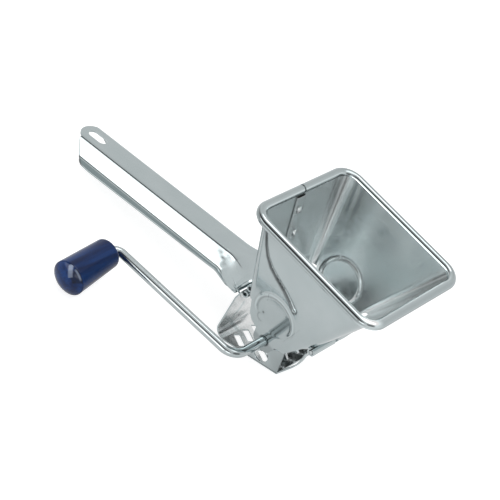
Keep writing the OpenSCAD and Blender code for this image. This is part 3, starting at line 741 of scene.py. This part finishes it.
def handle_profile(f):
    """Half section, from 0 at the free end to 1 at the hopper's: Y and depth below the top."""
    half, out = H_TOP / 2, H_TOP / 2 + H_LEAN
    deep = H_DEEP0 + (H_DEEP1 - H_DEEP0) * f - 0.5
    lip = LIP0 + (LIP1 - LIP0) * f
    lean = math.degrees(math.atan2(H_LEAN, deep))
    cx, cz = half - BEND * 0.9, 0.5 + BEND
    pts = [(0, 0.5), (half * 0.35, 0.5), (half * 0.65, 0.5), (cx, 0.5)]
    pts += [(cx + BEND * SIN((90 - lean) * t), cz - BEND * COS((90 - lean) * t)) for t in steps(7)[1:]]
    ex, ez, turned = out - LIP_BEND * 0.55, deep - LIP_BEND * 0.75, LIP_BEND * 0.7
    pts += line(pts[-1], (ex, ez), 5)[1:]
    for t in steps(5)[1:]:
        b0, b1, b2 = (1 - t) ** 2, 2 * t * (1 - t), t * t
        pts.append((b0 * ex + b1 * out + b2 * (out + turned), b0 * ez + (b1 + b2) * deep))
    return pts + [(out + turned + (lip - turned) * t, deep - 0.15 * t ** 2) for t in steps(8)[1:]]


def handle_start(y, depth):
    """Free end of each line of the section: round on top, sloping on the side, round on the lip."""
    half, out = H_TOP / 2, H_TOP / 2 + H_LEAN
    middle = -REACH + half
    if depth < 1.2:
        return middle - math.sqrt(max(0.0, half * half - y * y)) + 0.12
    lip = max(0.0, min(1.0, (y - out) / LIP0))
    web = middle - WEB_BACK + WEB_SLOPE * depth
    return web + LIP_BACK * lip + LIP_ROUND * (1 - math.sqrt(max(0.0, 1 - lip ** 4)))


# Where the handle's sheet spreads to the wall: at each station the middle, fold, side, lip fold and edge
SPREAD = [
    ((-41.0, 0, -0.5), (-41.0, 7.5, -0.7), (-41.3, 9.9, -5.4), (-42.0, 12.4, -10.4), (-42.0, 14.6, -10.6)),
    ((-37.5, 0, -0.5), (-37.0, 8.7, -0.6), (-37.6, 11.9, -5.0), (-38.5, 14.7, -10.1), (-38.3, 16.0, -10.5)),
    ((-34.0, 0, -0.4), (-33.2, 10.1, -0.2), (-33.9, 13.9, -4.3), (-34.8, 16.6, -9.4), (-34.4, 17.4, -10.0)),
    ((-30.3, 0, 0.1), (-29.6, 11.6, 0.6), (-30.3, 15.7, -3.0), (-31.4, 18.3, -8.1), (-30.9, 18.8, -9.0)),
    ((-26.4, 0, 1.3), (-26.2, 12.6, 1.8), (-27.2, 16.6, -1.8), (-28.7, 19.2, -7.0), (-28.5, 19.5, -8.2)),
    ((-21.95, 0, 4.9), (-22.2, 13.0, 4.6), (-24.8, 16.8, 2.4), (-26.6, 18.5, -1.8), (-27.8, 19.2, -4.8)),
]


def spread_points(station):
    """The section's points at a station of the spread, as many as the channel's half section has."""
    ctrl = [(x, y, top_z(x) + dz) for x, y, dz in station]
    places = [0, 0.35, 0.65, 0.87]
    for last, n in ((1.17, 7), (2.8, 5), (3.2, 5), (4.0, 8)):
        first = places[-1]
        places += [first + (last - first) * t for t in steps(n)[1:]]
    return [along(ctrl, u) for u in places]


def along(pts, u):
    """A point on a smooth line through points, at a place counted in points."""
    i = min(int(u), len(pts) - 2)
    t = u - i
    p0, p1, p2, p3 = pts[max(i - 1, 0)], pts[i], pts[i + 1], pts[min(i + 2, len(pts) - 1)]
    return tuple(0.5 * (2 * p1[k] + (p2[k] - p0[k]) * t + (2 * p0[k] - 5 * p1[k] + 4 * p2[k] - p3[k]) * t * t
                        + (3 * p1[k] - p0[k] - 3 * p2[k] + p3[k]) * t ** 3) for k in range(len(p1)))


def channel_point(ends, j, x):
    """Point j of the half section at a place along the straight channel."""
    free = -REACH + H_TOP / 2
    f = max(0.0, min(1.0, (x - free) / (CHANNEL_LAST - free)))
    y, d = (a + (b - a) * f for a, b in zip(ends[0][j], ends[1][j]))
    return (x, y, top_z(x) - d)


def channel_tone(x, y, z):
    """Painted reflections and shade: a dark line at the web's free end and along the fold, and a dark almond near
    the hopper with a light patch beside it.
    """
    depth, half = top_z(x) - z, H_TOP / 2
    out = 0.03
    if depth > 1.4:
        out += 0.72 * (1 - smooth((x - handle_start(abs(y), depth) - 0.15) / 0.7)) * smooth((depth - 1.4) / 0.6)
    if y < 0 and x < -40:
        out += 0.30 * bump_at(depth - 1.2, 0.5) * smooth((-y - half + 1.2) / 0.8)
    # Painted reflections: a dark almond on the side and a light patch beside it
    if -57 < x < -36 and depth > 0.9:
        along_almond = x - DARK_ALMOND_REFLECTION[0]
        out += 0.94 * bump_at(depth - DARK_ALMOND_REFLECTION[1] - 0.45 * along_almond, 0.9) * bump_at(along_almond / 5.4, 1.0) ** 2
        out -= 0.9 * bump_at(math.hypot((x - LIGHT_PATCH_REFLECTION[0]) / 1.4, depth - LIGHT_PATCH_REFLECTION[1]), 2.0)
    return out


def handle():
    """Handle and root plate: one sheet from the free end to the hopper's foot."""
    ends = [handle_profile(0), handle_profile(1)]
    last = len(ends[0])
    spread = [spread_points(st) for st in SPREAD]
    columns = []
    for j in range(last):
        start = handle_start(*ends[0][j])
        places = [start] + [start + 0.4 + (CHANNEL_END - start) * f ** 1.12 for f in steps(70)]
        knots = [channel_point(ends, j, x) for x in (-54, -50, -46)] + [points[j] for points in spread]
        curve = [along(knots, 1 + (len(knots) - 2) * f) for f in steps(56)[1:]]
        columns.append([channel_point(ends, j, x) for x in places] + curve)
    order = [(-1, j) for j in range(last - 1, 0, -1)] + [(1, j) for j in range(last)]
    verts = [(x, s * y, z) for s, j in order for x, y, z in columns[j]]
    o = add("handle_channel", verts, grid_faces(len(order), len(columns[0])), SHEET, "frame",
            replaces=("handle", "root_plate"))
    paint(o, dark=channel_tone)
    fine = o.modifiers.new("fine", "SUBSURF")
    fine.levels = fine.render_levels = 1
    bake(thicken(o, HANDLE_WALL, 0))
    x0 = -REACH + SLOT_INSET + SLOT_W / 2
    x1 = x0 + SLOT_L - SLOT_W
    outline = [(x1 + px, py, 0) for px, py in arc(0, 0, SLOT_W / 2, -90, 90, 16)]
    outline += [(x0 + px, py, 0) for px, py in arc(0, 0, SLOT_W / 2, 90, 270, 16)]
    cut(o, prism_tool(outline, (0, 0, top_z(x0) - 8), (0, 0, 16)))
    angle_smooth(o, 35)
    path = line((ROOT_X - BAR_BACK, -BAR_HALF, BAR_Z), (ROOT_X - BAR_BACK, BAR_HALF, BAR_Z), 12)
    bar = sweep("root_bar", path, (1, 0, 0), BAR_R, SHEET, "frame", sides=20)
    settle(join("handle_channel", [o, bar, root_tab()]))


def root_tab():
    """The part of the root plate that lies on the rear wall."""
    low, high = WALL_END - 1, WALL_END + 14.5
    rows, cols = 26, 30
    verts = []
    for t in steps(rows):
        z = low + (high - low) * t
        width = 13 - 4 * t - 4 * smooth((t - 0.82) / 0.18) ** 2
        verts += [(rear_at(z) - 0.56, width * (2 * f - 1), z) for f in steps(cols)]
    o = add("root_tab", verts, grid_faces(rows + 1, cols + 1), SHEET, "frame")
    return bake(thicken(o, HANDLE_WALL, 0))


# Slotted shell


def sheet_from_profile(name, profile, y0, y1, away, cols=30, inner=None, **more):
    """A bent sheet of the shell from a profile in X and Z; its outside looks away from a line along Y."""
    verts = [(x, y0 + (y1 - y0) * f, z) for x, z in profile for f in steps(cols)]
    o = add(name, verts, grid_faces(len(profile), cols + 1), SHEET, "shell", outward=False, **more)
    flip_to(o, away)
    return thicken(o, WALL, inner=inner)


def pocket_tone(x, y, z):
    """Painted light and reflection: lighter all over, with a dark bent band low in the pocket."""
    return 0.35 * bump_at(y + 13.5 + 2.5 * math.sin(z / 4.0) + 0.25 * z, 1.3) * smooth((-3 - z) / 4) - 0.30


def shell_slots(bx, bz):
    """Tools for the two rows of slanted slots in the floor, which starts at bx, bz."""
    tools = []
    flat = [(a * COS(SLANT) + b * SIN(SLANT), b * COS(SLANT) - a * SIN(SLANT)) for a, b in rounded(*SLOT_HALF)]
    ux, uz = COS(RISE), SIN(RISE)
    for i in range(5):
        for centre in SLOT_ROWS:
            c = (bx + ux * centre, (i - 2) * SLOT_PITCH - 1, bz + uz * centre)
            outline = [(c[0] + ux * a + uz * 3, c[1] + b, c[2] + uz * a - ux * 3) for a, b in flat]
            tools.append(prism_tool(outline, (0, 0, 0), (-uz * 6, 0, ux * 6)))
    return tools


def end_plate(s, floor_z, tip_z):
    """The end on one side, with its round hole."""
    y0, y1 = s * SHELL_HALF, s * (SHELL_HALF - WALL)
    outline = [(END_TOP[0][0], y0, floor_z)] + [(x, y0, z) for x, z in END_TOP] + [(TIP_X, y0, tip_z + 0.4)]
    plate = prism_tool(outline, (0, 0, 0), (0, y1 - y0, 0))
    # Painted shade: the end plate darker all over
    paint(plate, dark=lambda x, y, z: 0.26)
    cut(plate, cylinder_tool((1.6, y0 - s * 4, -10), (1.6, y0 + s * 4, -10), END_HOLE))
    return bevel(plate, 0.18)


def arm_sheet(s, tip_z):
    """The narrow arm up the front on one side."""
    pts = [(TIP_X, tip_z), ((TIP_X + FRONT_X) / 2 + 1.4, -1.6), (FRONT_X - 0.5, 3.4), (FRONT_X, 8), (FRONT_X, 14.6)]
    y0, y1 = s * SHELL_HALF, s * (SHELL_HALF - STRIP)
    return bevel(bake(sheet_from_profile("arm", catmull(pts, 6), y0, y1, (5, 5), cols=4)), 0.2)


def shell():
    px, pz = -POCKET_X + POCKET_R, -POCKET_Z + POCKET_R
    bx, bz = px + POCKET_R * SIN(RISE), pz - POCKET_R * COS(RISE)
    tip_z, floor_z = (bz + (x - bx) * math.tan(math.radians(RISE)) for x in (TIP_X, END_TOP[0][0]))
    profile = line((LOW_ROLL[0] - ROLL_R, LOW_ROLL[1]), (-POCKET_X, POCKET_TOP), 4)
    profile += line((-POCKET_X, POCKET_TOP), (-POCKET_X, pz), 24)[1:]
    profile += arc(px, pz, POCKET_R, 180, 270 + RISE, 20)[1:]
    profile += line((bx, bz), (TIP_X, tip_z), 40)[1:]
    body = sheet_from_profile("shell_trough", profile, -SHELL_HALF, SHELL_HALF, (0, 0), cols=60, inner=INSIDE,
                              replaces=("slotted_shell",))
    paint(body, dark_in=pocket_tone, dark=lambda x, y, z: 0.0)
    bake(body)
    cut(body, *shell_slots(bx, bz))
    parts = [angle_smooth(body, 30)]
    for s in (-1, 1):
        parts += [end_plate(s, floor_z + 0.4, tip_z), arm_sheet(s, tip_z)]
    cross = [(FRONT_X, 12 + (HINGE[1] - KNUCKLE_R - 13) * f) for f in steps(4)]
    parts.append(bake(sheet_from_profile("cross", cross, -SHELL_HALF, SHELL_HALF, (0, 14))))
    tab = [(FRONT_X, 15.0), (FRONT_X + 0.2, 15.8), (FRONT_X + 0.9, 16.8), (HINGE[0] - 1.1, HINGE[1] - 1.2)]
    parts.append(bake(sheet_from_profile("tab", tab, -TAB_HALF, TAB_HALF, (0, 20), cols=8)))
    parts.append(rolled("roll", *HINGE, TAB_R, -TAB_HALF, TAB_HALF, 0.7, "shell", 320, 200))
    parts.append(rolled("roll", *LOW_ROLL, ROLL_R, -SHELL_HALF, SHELL_HALF, WALL, "shell", 330, 180))
    settle(join("shell_trough", parts))


def catmull(pts, n):
    return [along(pts, i / n) for i in range((len(pts) - 1) * n)] + [pts[-1]]


def bevel(o, width):
    b = o.modifiers.new("edge", "BEVEL")
    b.width, b.segments, b.limit_method, b.angle_limit = width / 1000, 2, "ANGLE", math.radians(50)
    bake(o)
    return angle_smooth(o, 35)


def rounded(a, b, r):
    out = []
    for cx, cy, a0 in ((a - r, b - r, 0), (-a + r, b - r, 90), (-a + r, -b + r, 180), (a - r, -b + r, 270)):
        out += arc(cx, cy, r, a0, a0 + 90, 5)
    return out


def flip_to(o, centre):
    """Turns the faces of a sheet so that they look away from a line along Y."""
    c = Vector(at(centre[0], 0, centre[1]))
    score = sum((f.center.x - c.x) * f.normal.x + (f.center.z - c.z) * f.normal.z for f in o.data.polygons)
    if score < 0:
        o.data.flip_normals()


# Crank wire, in the crank's own plane, and the knob on its leg


def arm_xyz(x, y, z=0.0):
    """From the arm's frame, whose line starts on the crank axis and runs back, to the crank's own."""
    y, z = y * COS(DROOP) - z * SIN(DROOP), y * SIN(DROOP) + z * COS(DROOP)
    return x * COS(ARM_LEAN) + y * SIN(ARM_LEAN), y * COS(ARM_LEAN) - x * SIN(ARM_LEAN) - ARM_Y, z


# The knob's direction, and how far the crank hangs below level when the knob lies on the table
KNOB_DIR = Vector(arm_xyz(SIN(LEAN), -COS(LEAN))) - Vector(arm_xyz(0, 0))
KNOB_OUT = KNOB_LEAD + KNOB_GAP + KNOB_LEN - 1
REST_X, REST_Z = ARM * COS(ARM_LEAN) - KNOB_OUT * KNOB_DIR.x, -KNOB_OUT * KNOB_DIR.z
REST_DEEP = POCKET_Z - KNOB_D / 2 * math.sqrt(1 - KNOB_DIR.z ** 2) - 0.02
DROP = math.degrees(math.asin(REST_DEEP / math.hypot(REST_X, REST_Z)) - math.atan(REST_Z / REST_X))


def crank_xyz(x, y, z=0.0):
    return Vector((x * COS(DROP) - z * SIN(DROP), y, x * SIN(DROP) + z * COS(DROP)))


LEG_START = (KNOB_LEAD - ARM + KNOB_R0 * COS(90 + KNOB_TURN), -KNOB_R0 + KNOB_R0 * SIN(90 + KNOB_TURN))


def crank():
    pts = line((0, half_at(0) + BUSH_OUT + 2.5, 0), (0, -ARM_Y + HUB_LEAD, 0), 20)
    pts += [(x, y, 0) for x, y in arc(-HUB_R, -ARM_Y + HUB_LEAD, HUB_R, 0, -HUB_TURN, 20)[1:]]
    flat = line((-HUB_LEAD, 0), (KNOB_LEAD - ARM, 0), 24)[1:]
    flat += arc(KNOB_LEAD - ARM, -KNOB_R0, KNOB_R0, 90, 90 + KNOB_TURN, 18)[1:]
    length = KNOB_GAP + KNOB_LEN - CAP - 0.8 - 1.6
    end = (LEG_START[0] + length * SIN(LEAN), LEG_START[1] - length * COS(LEAN))
    flat += line(LEG_START, end, 8)[1:]
    pts += [arm_xyz(*p) for p in flat]
    o = sweep("crank_wire", [crank_xyz(*p) for p in pts], crank_normal(), WIRE / 2, WIRE_STEEL, "crank", sides=32,
              replaces=("crank_rod",))
    settle(angle_smooth(o, 60))


def crank_normal():
    return (-SIN(DROP), 0, COS(DROP))


def knob_frame():
    """Start of the knob's leg, its axis and two directions square to it."""
    axis = crank_xyz(*KNOB_DIR).normalized()
    w = axis.cross(Vector(crank_normal())).normalized()
    return crank_xyz(*arm_xyz(*LEG_START)), axis, w.cross(axis), w


def lathe(name, profile, sides=96, **more):
    """Turns a profile of (radius, distance along the knob's axis) into a piece of the knob."""
    start, axis, u, w = knob_frame()
    verts = [v for r, d in profile for v in ring(start + axis * d, u, w, r, sides)]
    return add(name, verts, grid_faces(len(profile), sides, closed=True), BLUE, "knob", slot="knob_plastic", **more)


def knob():
    r0, r1, g = KNOB_NECK / 2, KNOB_D / 2, KNOB_GAP
    cap = g + KNOB_LEN - CAP
    edge = cap - 1.3
    round_r, bore, pocket = 1.6, WIRE / 2 + 0.08, 5.2
    body = [(bore, g + 1.5), (WIRE / 2 + 0.1, g + 0.2), (WIRE / 2 + 0.35, g)]
    body += [(r0 - 2.2, g), (r0 - round_r, g + 0.02)]
    body += [(r0 - round_r + round_r * SIN(a), g + round_r * (1 - COS(a))) for a in (15, 30, 45, 60, 75, 90)]
    body += [(r0 + (r1 - r0) * t, g + 1.6 + (edge - g - 1.75) * t) for t in (0.02, 0.2, 0.4, 0.6, 0.8, 0.98)]
    body += [(r1 - 0.02, edge - 0.14), (r1 - 0.1, edge - 0.04), (r1 - 0.22, edge), (r1 - 2, edge)]
    body += [(pocket, edge), (pocket, edge - 5), (bore, edge - 5)]
    settle(angle_smooth(lathe("knob_grip", body, replaces=("knob",)), 40))
    dome_r, foot_z = r1 - 0.16, edge + 0.16
    rise = cap + 2.35 - foot_z
    ball = (dome_r ** 2 + rise ** 2) / (2 * rise)
    top = [(pocket - 0.1, edge - 1.1), (pocket - 0.1, edge + 0.03), (r1 - 0.26, edge + 0.03), (dome_r, edge + 0.09)]
    for t in range(26):
        r = dome_r * (1 - t / 26)
        top.append((r, foot_z + rise - ball + math.sqrt(ball ** 2 - r ** 2)))
    top.append((0.02, foot_z + rise))
    o = lathe("knob_end", top, sides=128, replaces=("knob_cap",))
    start, _axis, u, w = knob_frame()

    def place(x, y, z):
        """Place across the knob's end, then radius and direction."""
        v = Vector((x, y, z)) - start
        a, b = v.dot(u), v.dot(w)
        return a, b, math.hypot(a, b), math.degrees(math.atan2(b, a))

    def window(x, y, z):
        """Painted reflection: a light pane and a light line near the edge."""
        a, b, r, turn = place(x, y, z)
        t, q = (a - 3.36) * 0.807 + (b + 1.62) * 0.590, (a - 3.36) * 0.504 - (b + 1.62) * 0.864
        pane = smooth((t + 0.15) / 0.5) * smooth((6.2 - t) / 0.5) * smooth((q + 0.1) / 0.4) * smooth((2.6 - q) / 0.4)
        pane *= 0.62 + 0.38 * smooth((t - 3.0) / 1.2)
        rim_light = bump_at(r - 8.75, 0.34) * smooth((turn + 62) / 10) * smooth((-14 - turn) / 8)
        return max(pane, 0.8 * rim_light)

    def shade(x, y, z):
        """Painted light and shade: lighter middle, dark zone on one side and a dark edge."""
        _a, _b, r, turn = place(x, y, z)
        zone = smooth((r - 4.4) / 0.8) * smooth((turn + 72) / 8) * smooth((-12 - turn) / 14)
        return 0.95 * zone - 0.35 + 0.6 * smooth((r - 8.85) / 0.3)

    paint(o, shine=window, dark=shade)
    settle(angle_smooth(o, 50))


def near_bush_ring():
    """The dark edge of the bush where the wire goes into the near cheek."""
    y, wire, sides = -half_at(0) - 0.02, WIRE / 2, 48
    rings = [(BORE, 0.7), (BORE + 0.01, 0.02), (wire + 0.5, -0.08), (wire + 0.22, -0.06)]
    rings += [(wire + 0.1, 0.1), (wire + 0.1, 0.7)]
    verts = [(r * COS(360 * k / sides), y + d, r * SIN(360 * k / sides)) for r, d in rings for k in range(sides)]
    o = add("near_bush_ring", verts, grid_faces(len(rings), sides, closed=True), DARK, "frame",
            replaces=("near_bush",), slot="plain_steel")
    settle(angle_smooth(o, 50))


def keep_cad():
    """Materials of the CAD pieces that stay as they are."""
    plain = ("spacer", "near_", "far_", "hinge_pin", "knob_retainer", "handle_rivets")
    for name, o in nodes.items():
        # Cutters and comb get the ground steel that is also lightened as painted light
        ground_and_painted_light = name.startswith(("cutter_disc", "stripper_comb"))
        m = CUTTER if ground_and_painted_light else PLAIN if name.startswith(plain) else SHEET
        for slot in o.material_slots:
            slot.material = m


keep_cad()
settle(join("hopper_sheet", [hopper(), hopper_edges()]))
rim()
strap()
handle()
shell()
crank()
knob()
near_bush_ring()

# Floor, light and background, in metres: the floor's half size, depth and grey, its glow by kind of ray
FLOOR_HALF, FLOOR_DEPTH, FLOOR_GREY = 4.0, 0.0002, 0.45
FLOOR_GLOW = (("Is Camera Ray", 0.84), ("Is Glossy Ray", 0.46), ("Is Transmission Ray", 0.46))
# The studio's light from below and from above
LOW_LIGHT, HIGH_LIGHT = 0.86, 0.73


def floor():
    mesh = bpy.data.meshes.new("floor")
    corners = [(i * FLOOR_HALF, j * FLOOR_HALF, -FLOOR_DEPTH) for i, j in ((-1, -1), (1, -1), (1, 1), (-1, 1))]
    mesh.from_pydata(corners, [], [(0, 1, 2, 3)])
    o = bpy.data.objects.new("floor", mesh)
    scene.collection.objects.link(o)
    m, n, k, _b = new_material("floor_white")
    n.clear()
    kinds = ("OutputMaterial", "AddShader", "BsdfDiffuse", "Emission")
    out, mix, diff, glow = (n.new("ShaderNode" + kind) for kind in kinds)
    diff.inputs["Color"].default_value = (FLOOR_GREY, FLOOR_GREY, FLOOR_GREY, 1)
    path = n.new("ShaderNodeLightPath")
    strength = None
    for ray, level in FLOOR_GLOW:
        part = n.new("ShaderNodeMath")
        part.operation = "MULTIPLY_ADD"
        part.inputs[1].default_value = level
        part.inputs[2].default_value = 0.0
        k.new(path.outputs[ray], part.inputs[0])
        if strength:
            k.new(strength, part.inputs[2])
        strength = part.outputs[0]
    k.new(strength, glow.inputs["Strength"])
    k.new(diff.outputs[0], mix.inputs[0])
    k.new(glow.outputs[0], mix.inputs[1])
    k.new(mix.outputs[0], out.inputs["Surface"])
    mesh.materials.append(m)


# Soft boxes and dark flags of the studio, each by its middle direction, its half sizes and its strength
PANELS = [
    ((-0.42, -0.88, 0.12), (0.50, 0.14), 2.2),
    ((-0.29, -0.71, 0.64), (1.20, 0.17), -0.72),
    ((0.10, 0.20, 0.97), (0.35, 0.28), 1.3),
    ((0.40, -0.90, 0.08), (0.20, 0.14), 2.0),
    ((0.72, -0.28, 0.38), (0.30, 0.34), -0.60),
]


def world():
    """White for the camera, and for all other rays a soft sky with the panels."""
    w = bpy.data.worlds.new("studio")
    scene.world = w
    w.use_nodes = True
    n, k = w.node_tree.nodes, w.node_tree.links
    n.clear()
    kinds = ("OutputWorld", "Background", "TexCoord", "LightPath")
    out, back, coords, path = (n.new("ShaderNode" + kind) for kind in kinds)

    def math_node(op, *values):
        m = n.new("ShaderNodeMath")
        m.operation = op
        for socket, v in zip(m.inputs, values):
            if isinstance(v, (int, float)):
                socket.default_value = v
            else:
                k.new(v, socket)
        return m.outputs[0]

    def dot(axis):
        m = n.new("ShaderNodeVectorMath")
        m.operation = "DOT_PRODUCT"
        k.new(coords.outputs["Generated"], m.inputs[0])
        m.inputs[1].default_value = axis
        return m.outputs["Value"]

    def ranged(value, *ends, kind="LINEAR"):
        """From a range to another, 0 to 1 if none is given."""
        m = n.new("ShaderNodeMapRange")
        m.interpolation_type = kind
        for socket, v in zip(m.inputs[1:], ends):
            socket.default_value = v
        k.new(value, m.inputs["Value"])
        return m.outputs["Result"]

    def soft(value, edge):
        return ranged(value, edge * 1.25, edge * 0.8, kind="SMOOTHSTEP")

    total = ranged(dot((0, 0, 1)), -0.2, 0.9, LOW_LIGHT, HIGH_LIGHT)
    for middle, (wide, high), strength in PANELS:
        c = Vector(middle).normalized()
        u = Vector((0, 0, 1)).cross(c).normalized()
        v = c.cross(u)
        ahead = dot(c)
        safe = math_node("MAXIMUM", ahead, 0.001)
        a = math_node("ABSOLUTE", math_node("DIVIDE", dot(u), safe))
        b = math_node("ABSOLUTE", math_node("DIVIDE", dot(v), safe))
        mask = math_node("MULTIPLY", soft(a, wide), soft(b, high))
        mask = math_node("MULTIPLY", mask, math_node("GREATER_THAN", ahead, 0.01))
        total = math_node("ADD", total, math_node("MULTIPLY", mask, strength))
    total = math_node("MAXIMUM", total, 0.02)
    camera = path.outputs["Is Camera Ray"]
    plain = math_node("MULTIPLY", total, math_node("SUBTRACT", 1.0, camera))
    k.new(math_node("ADD", plain, camera), back.inputs["Strength"])
    back.inputs["Color"].default_value = (1, 1, 1, 1)
    k.new(back.outputs[0], out.inputs["Surface"])


def lamp(name, place, target, size, power):
    data = bpy.data.lights.new(name, "AREA")
    data.shape, data.size, data.energy = "SQUARE", size, power
    o = bpy.data.objects.new(name, data)
    scene.collection.objects.link(o)
    o.location = place
    o.rotation_euler = (Vector(target) - Vector(place)).to_track_quat("-Z", "Y").to_euler()


floor()
world()
lamp("key", place=(-0.38, 0.28, 1.15), target=(0, 0, 0.03), size=0.5, power=1.5)
scene.view_settings.view_transform = "Standard"
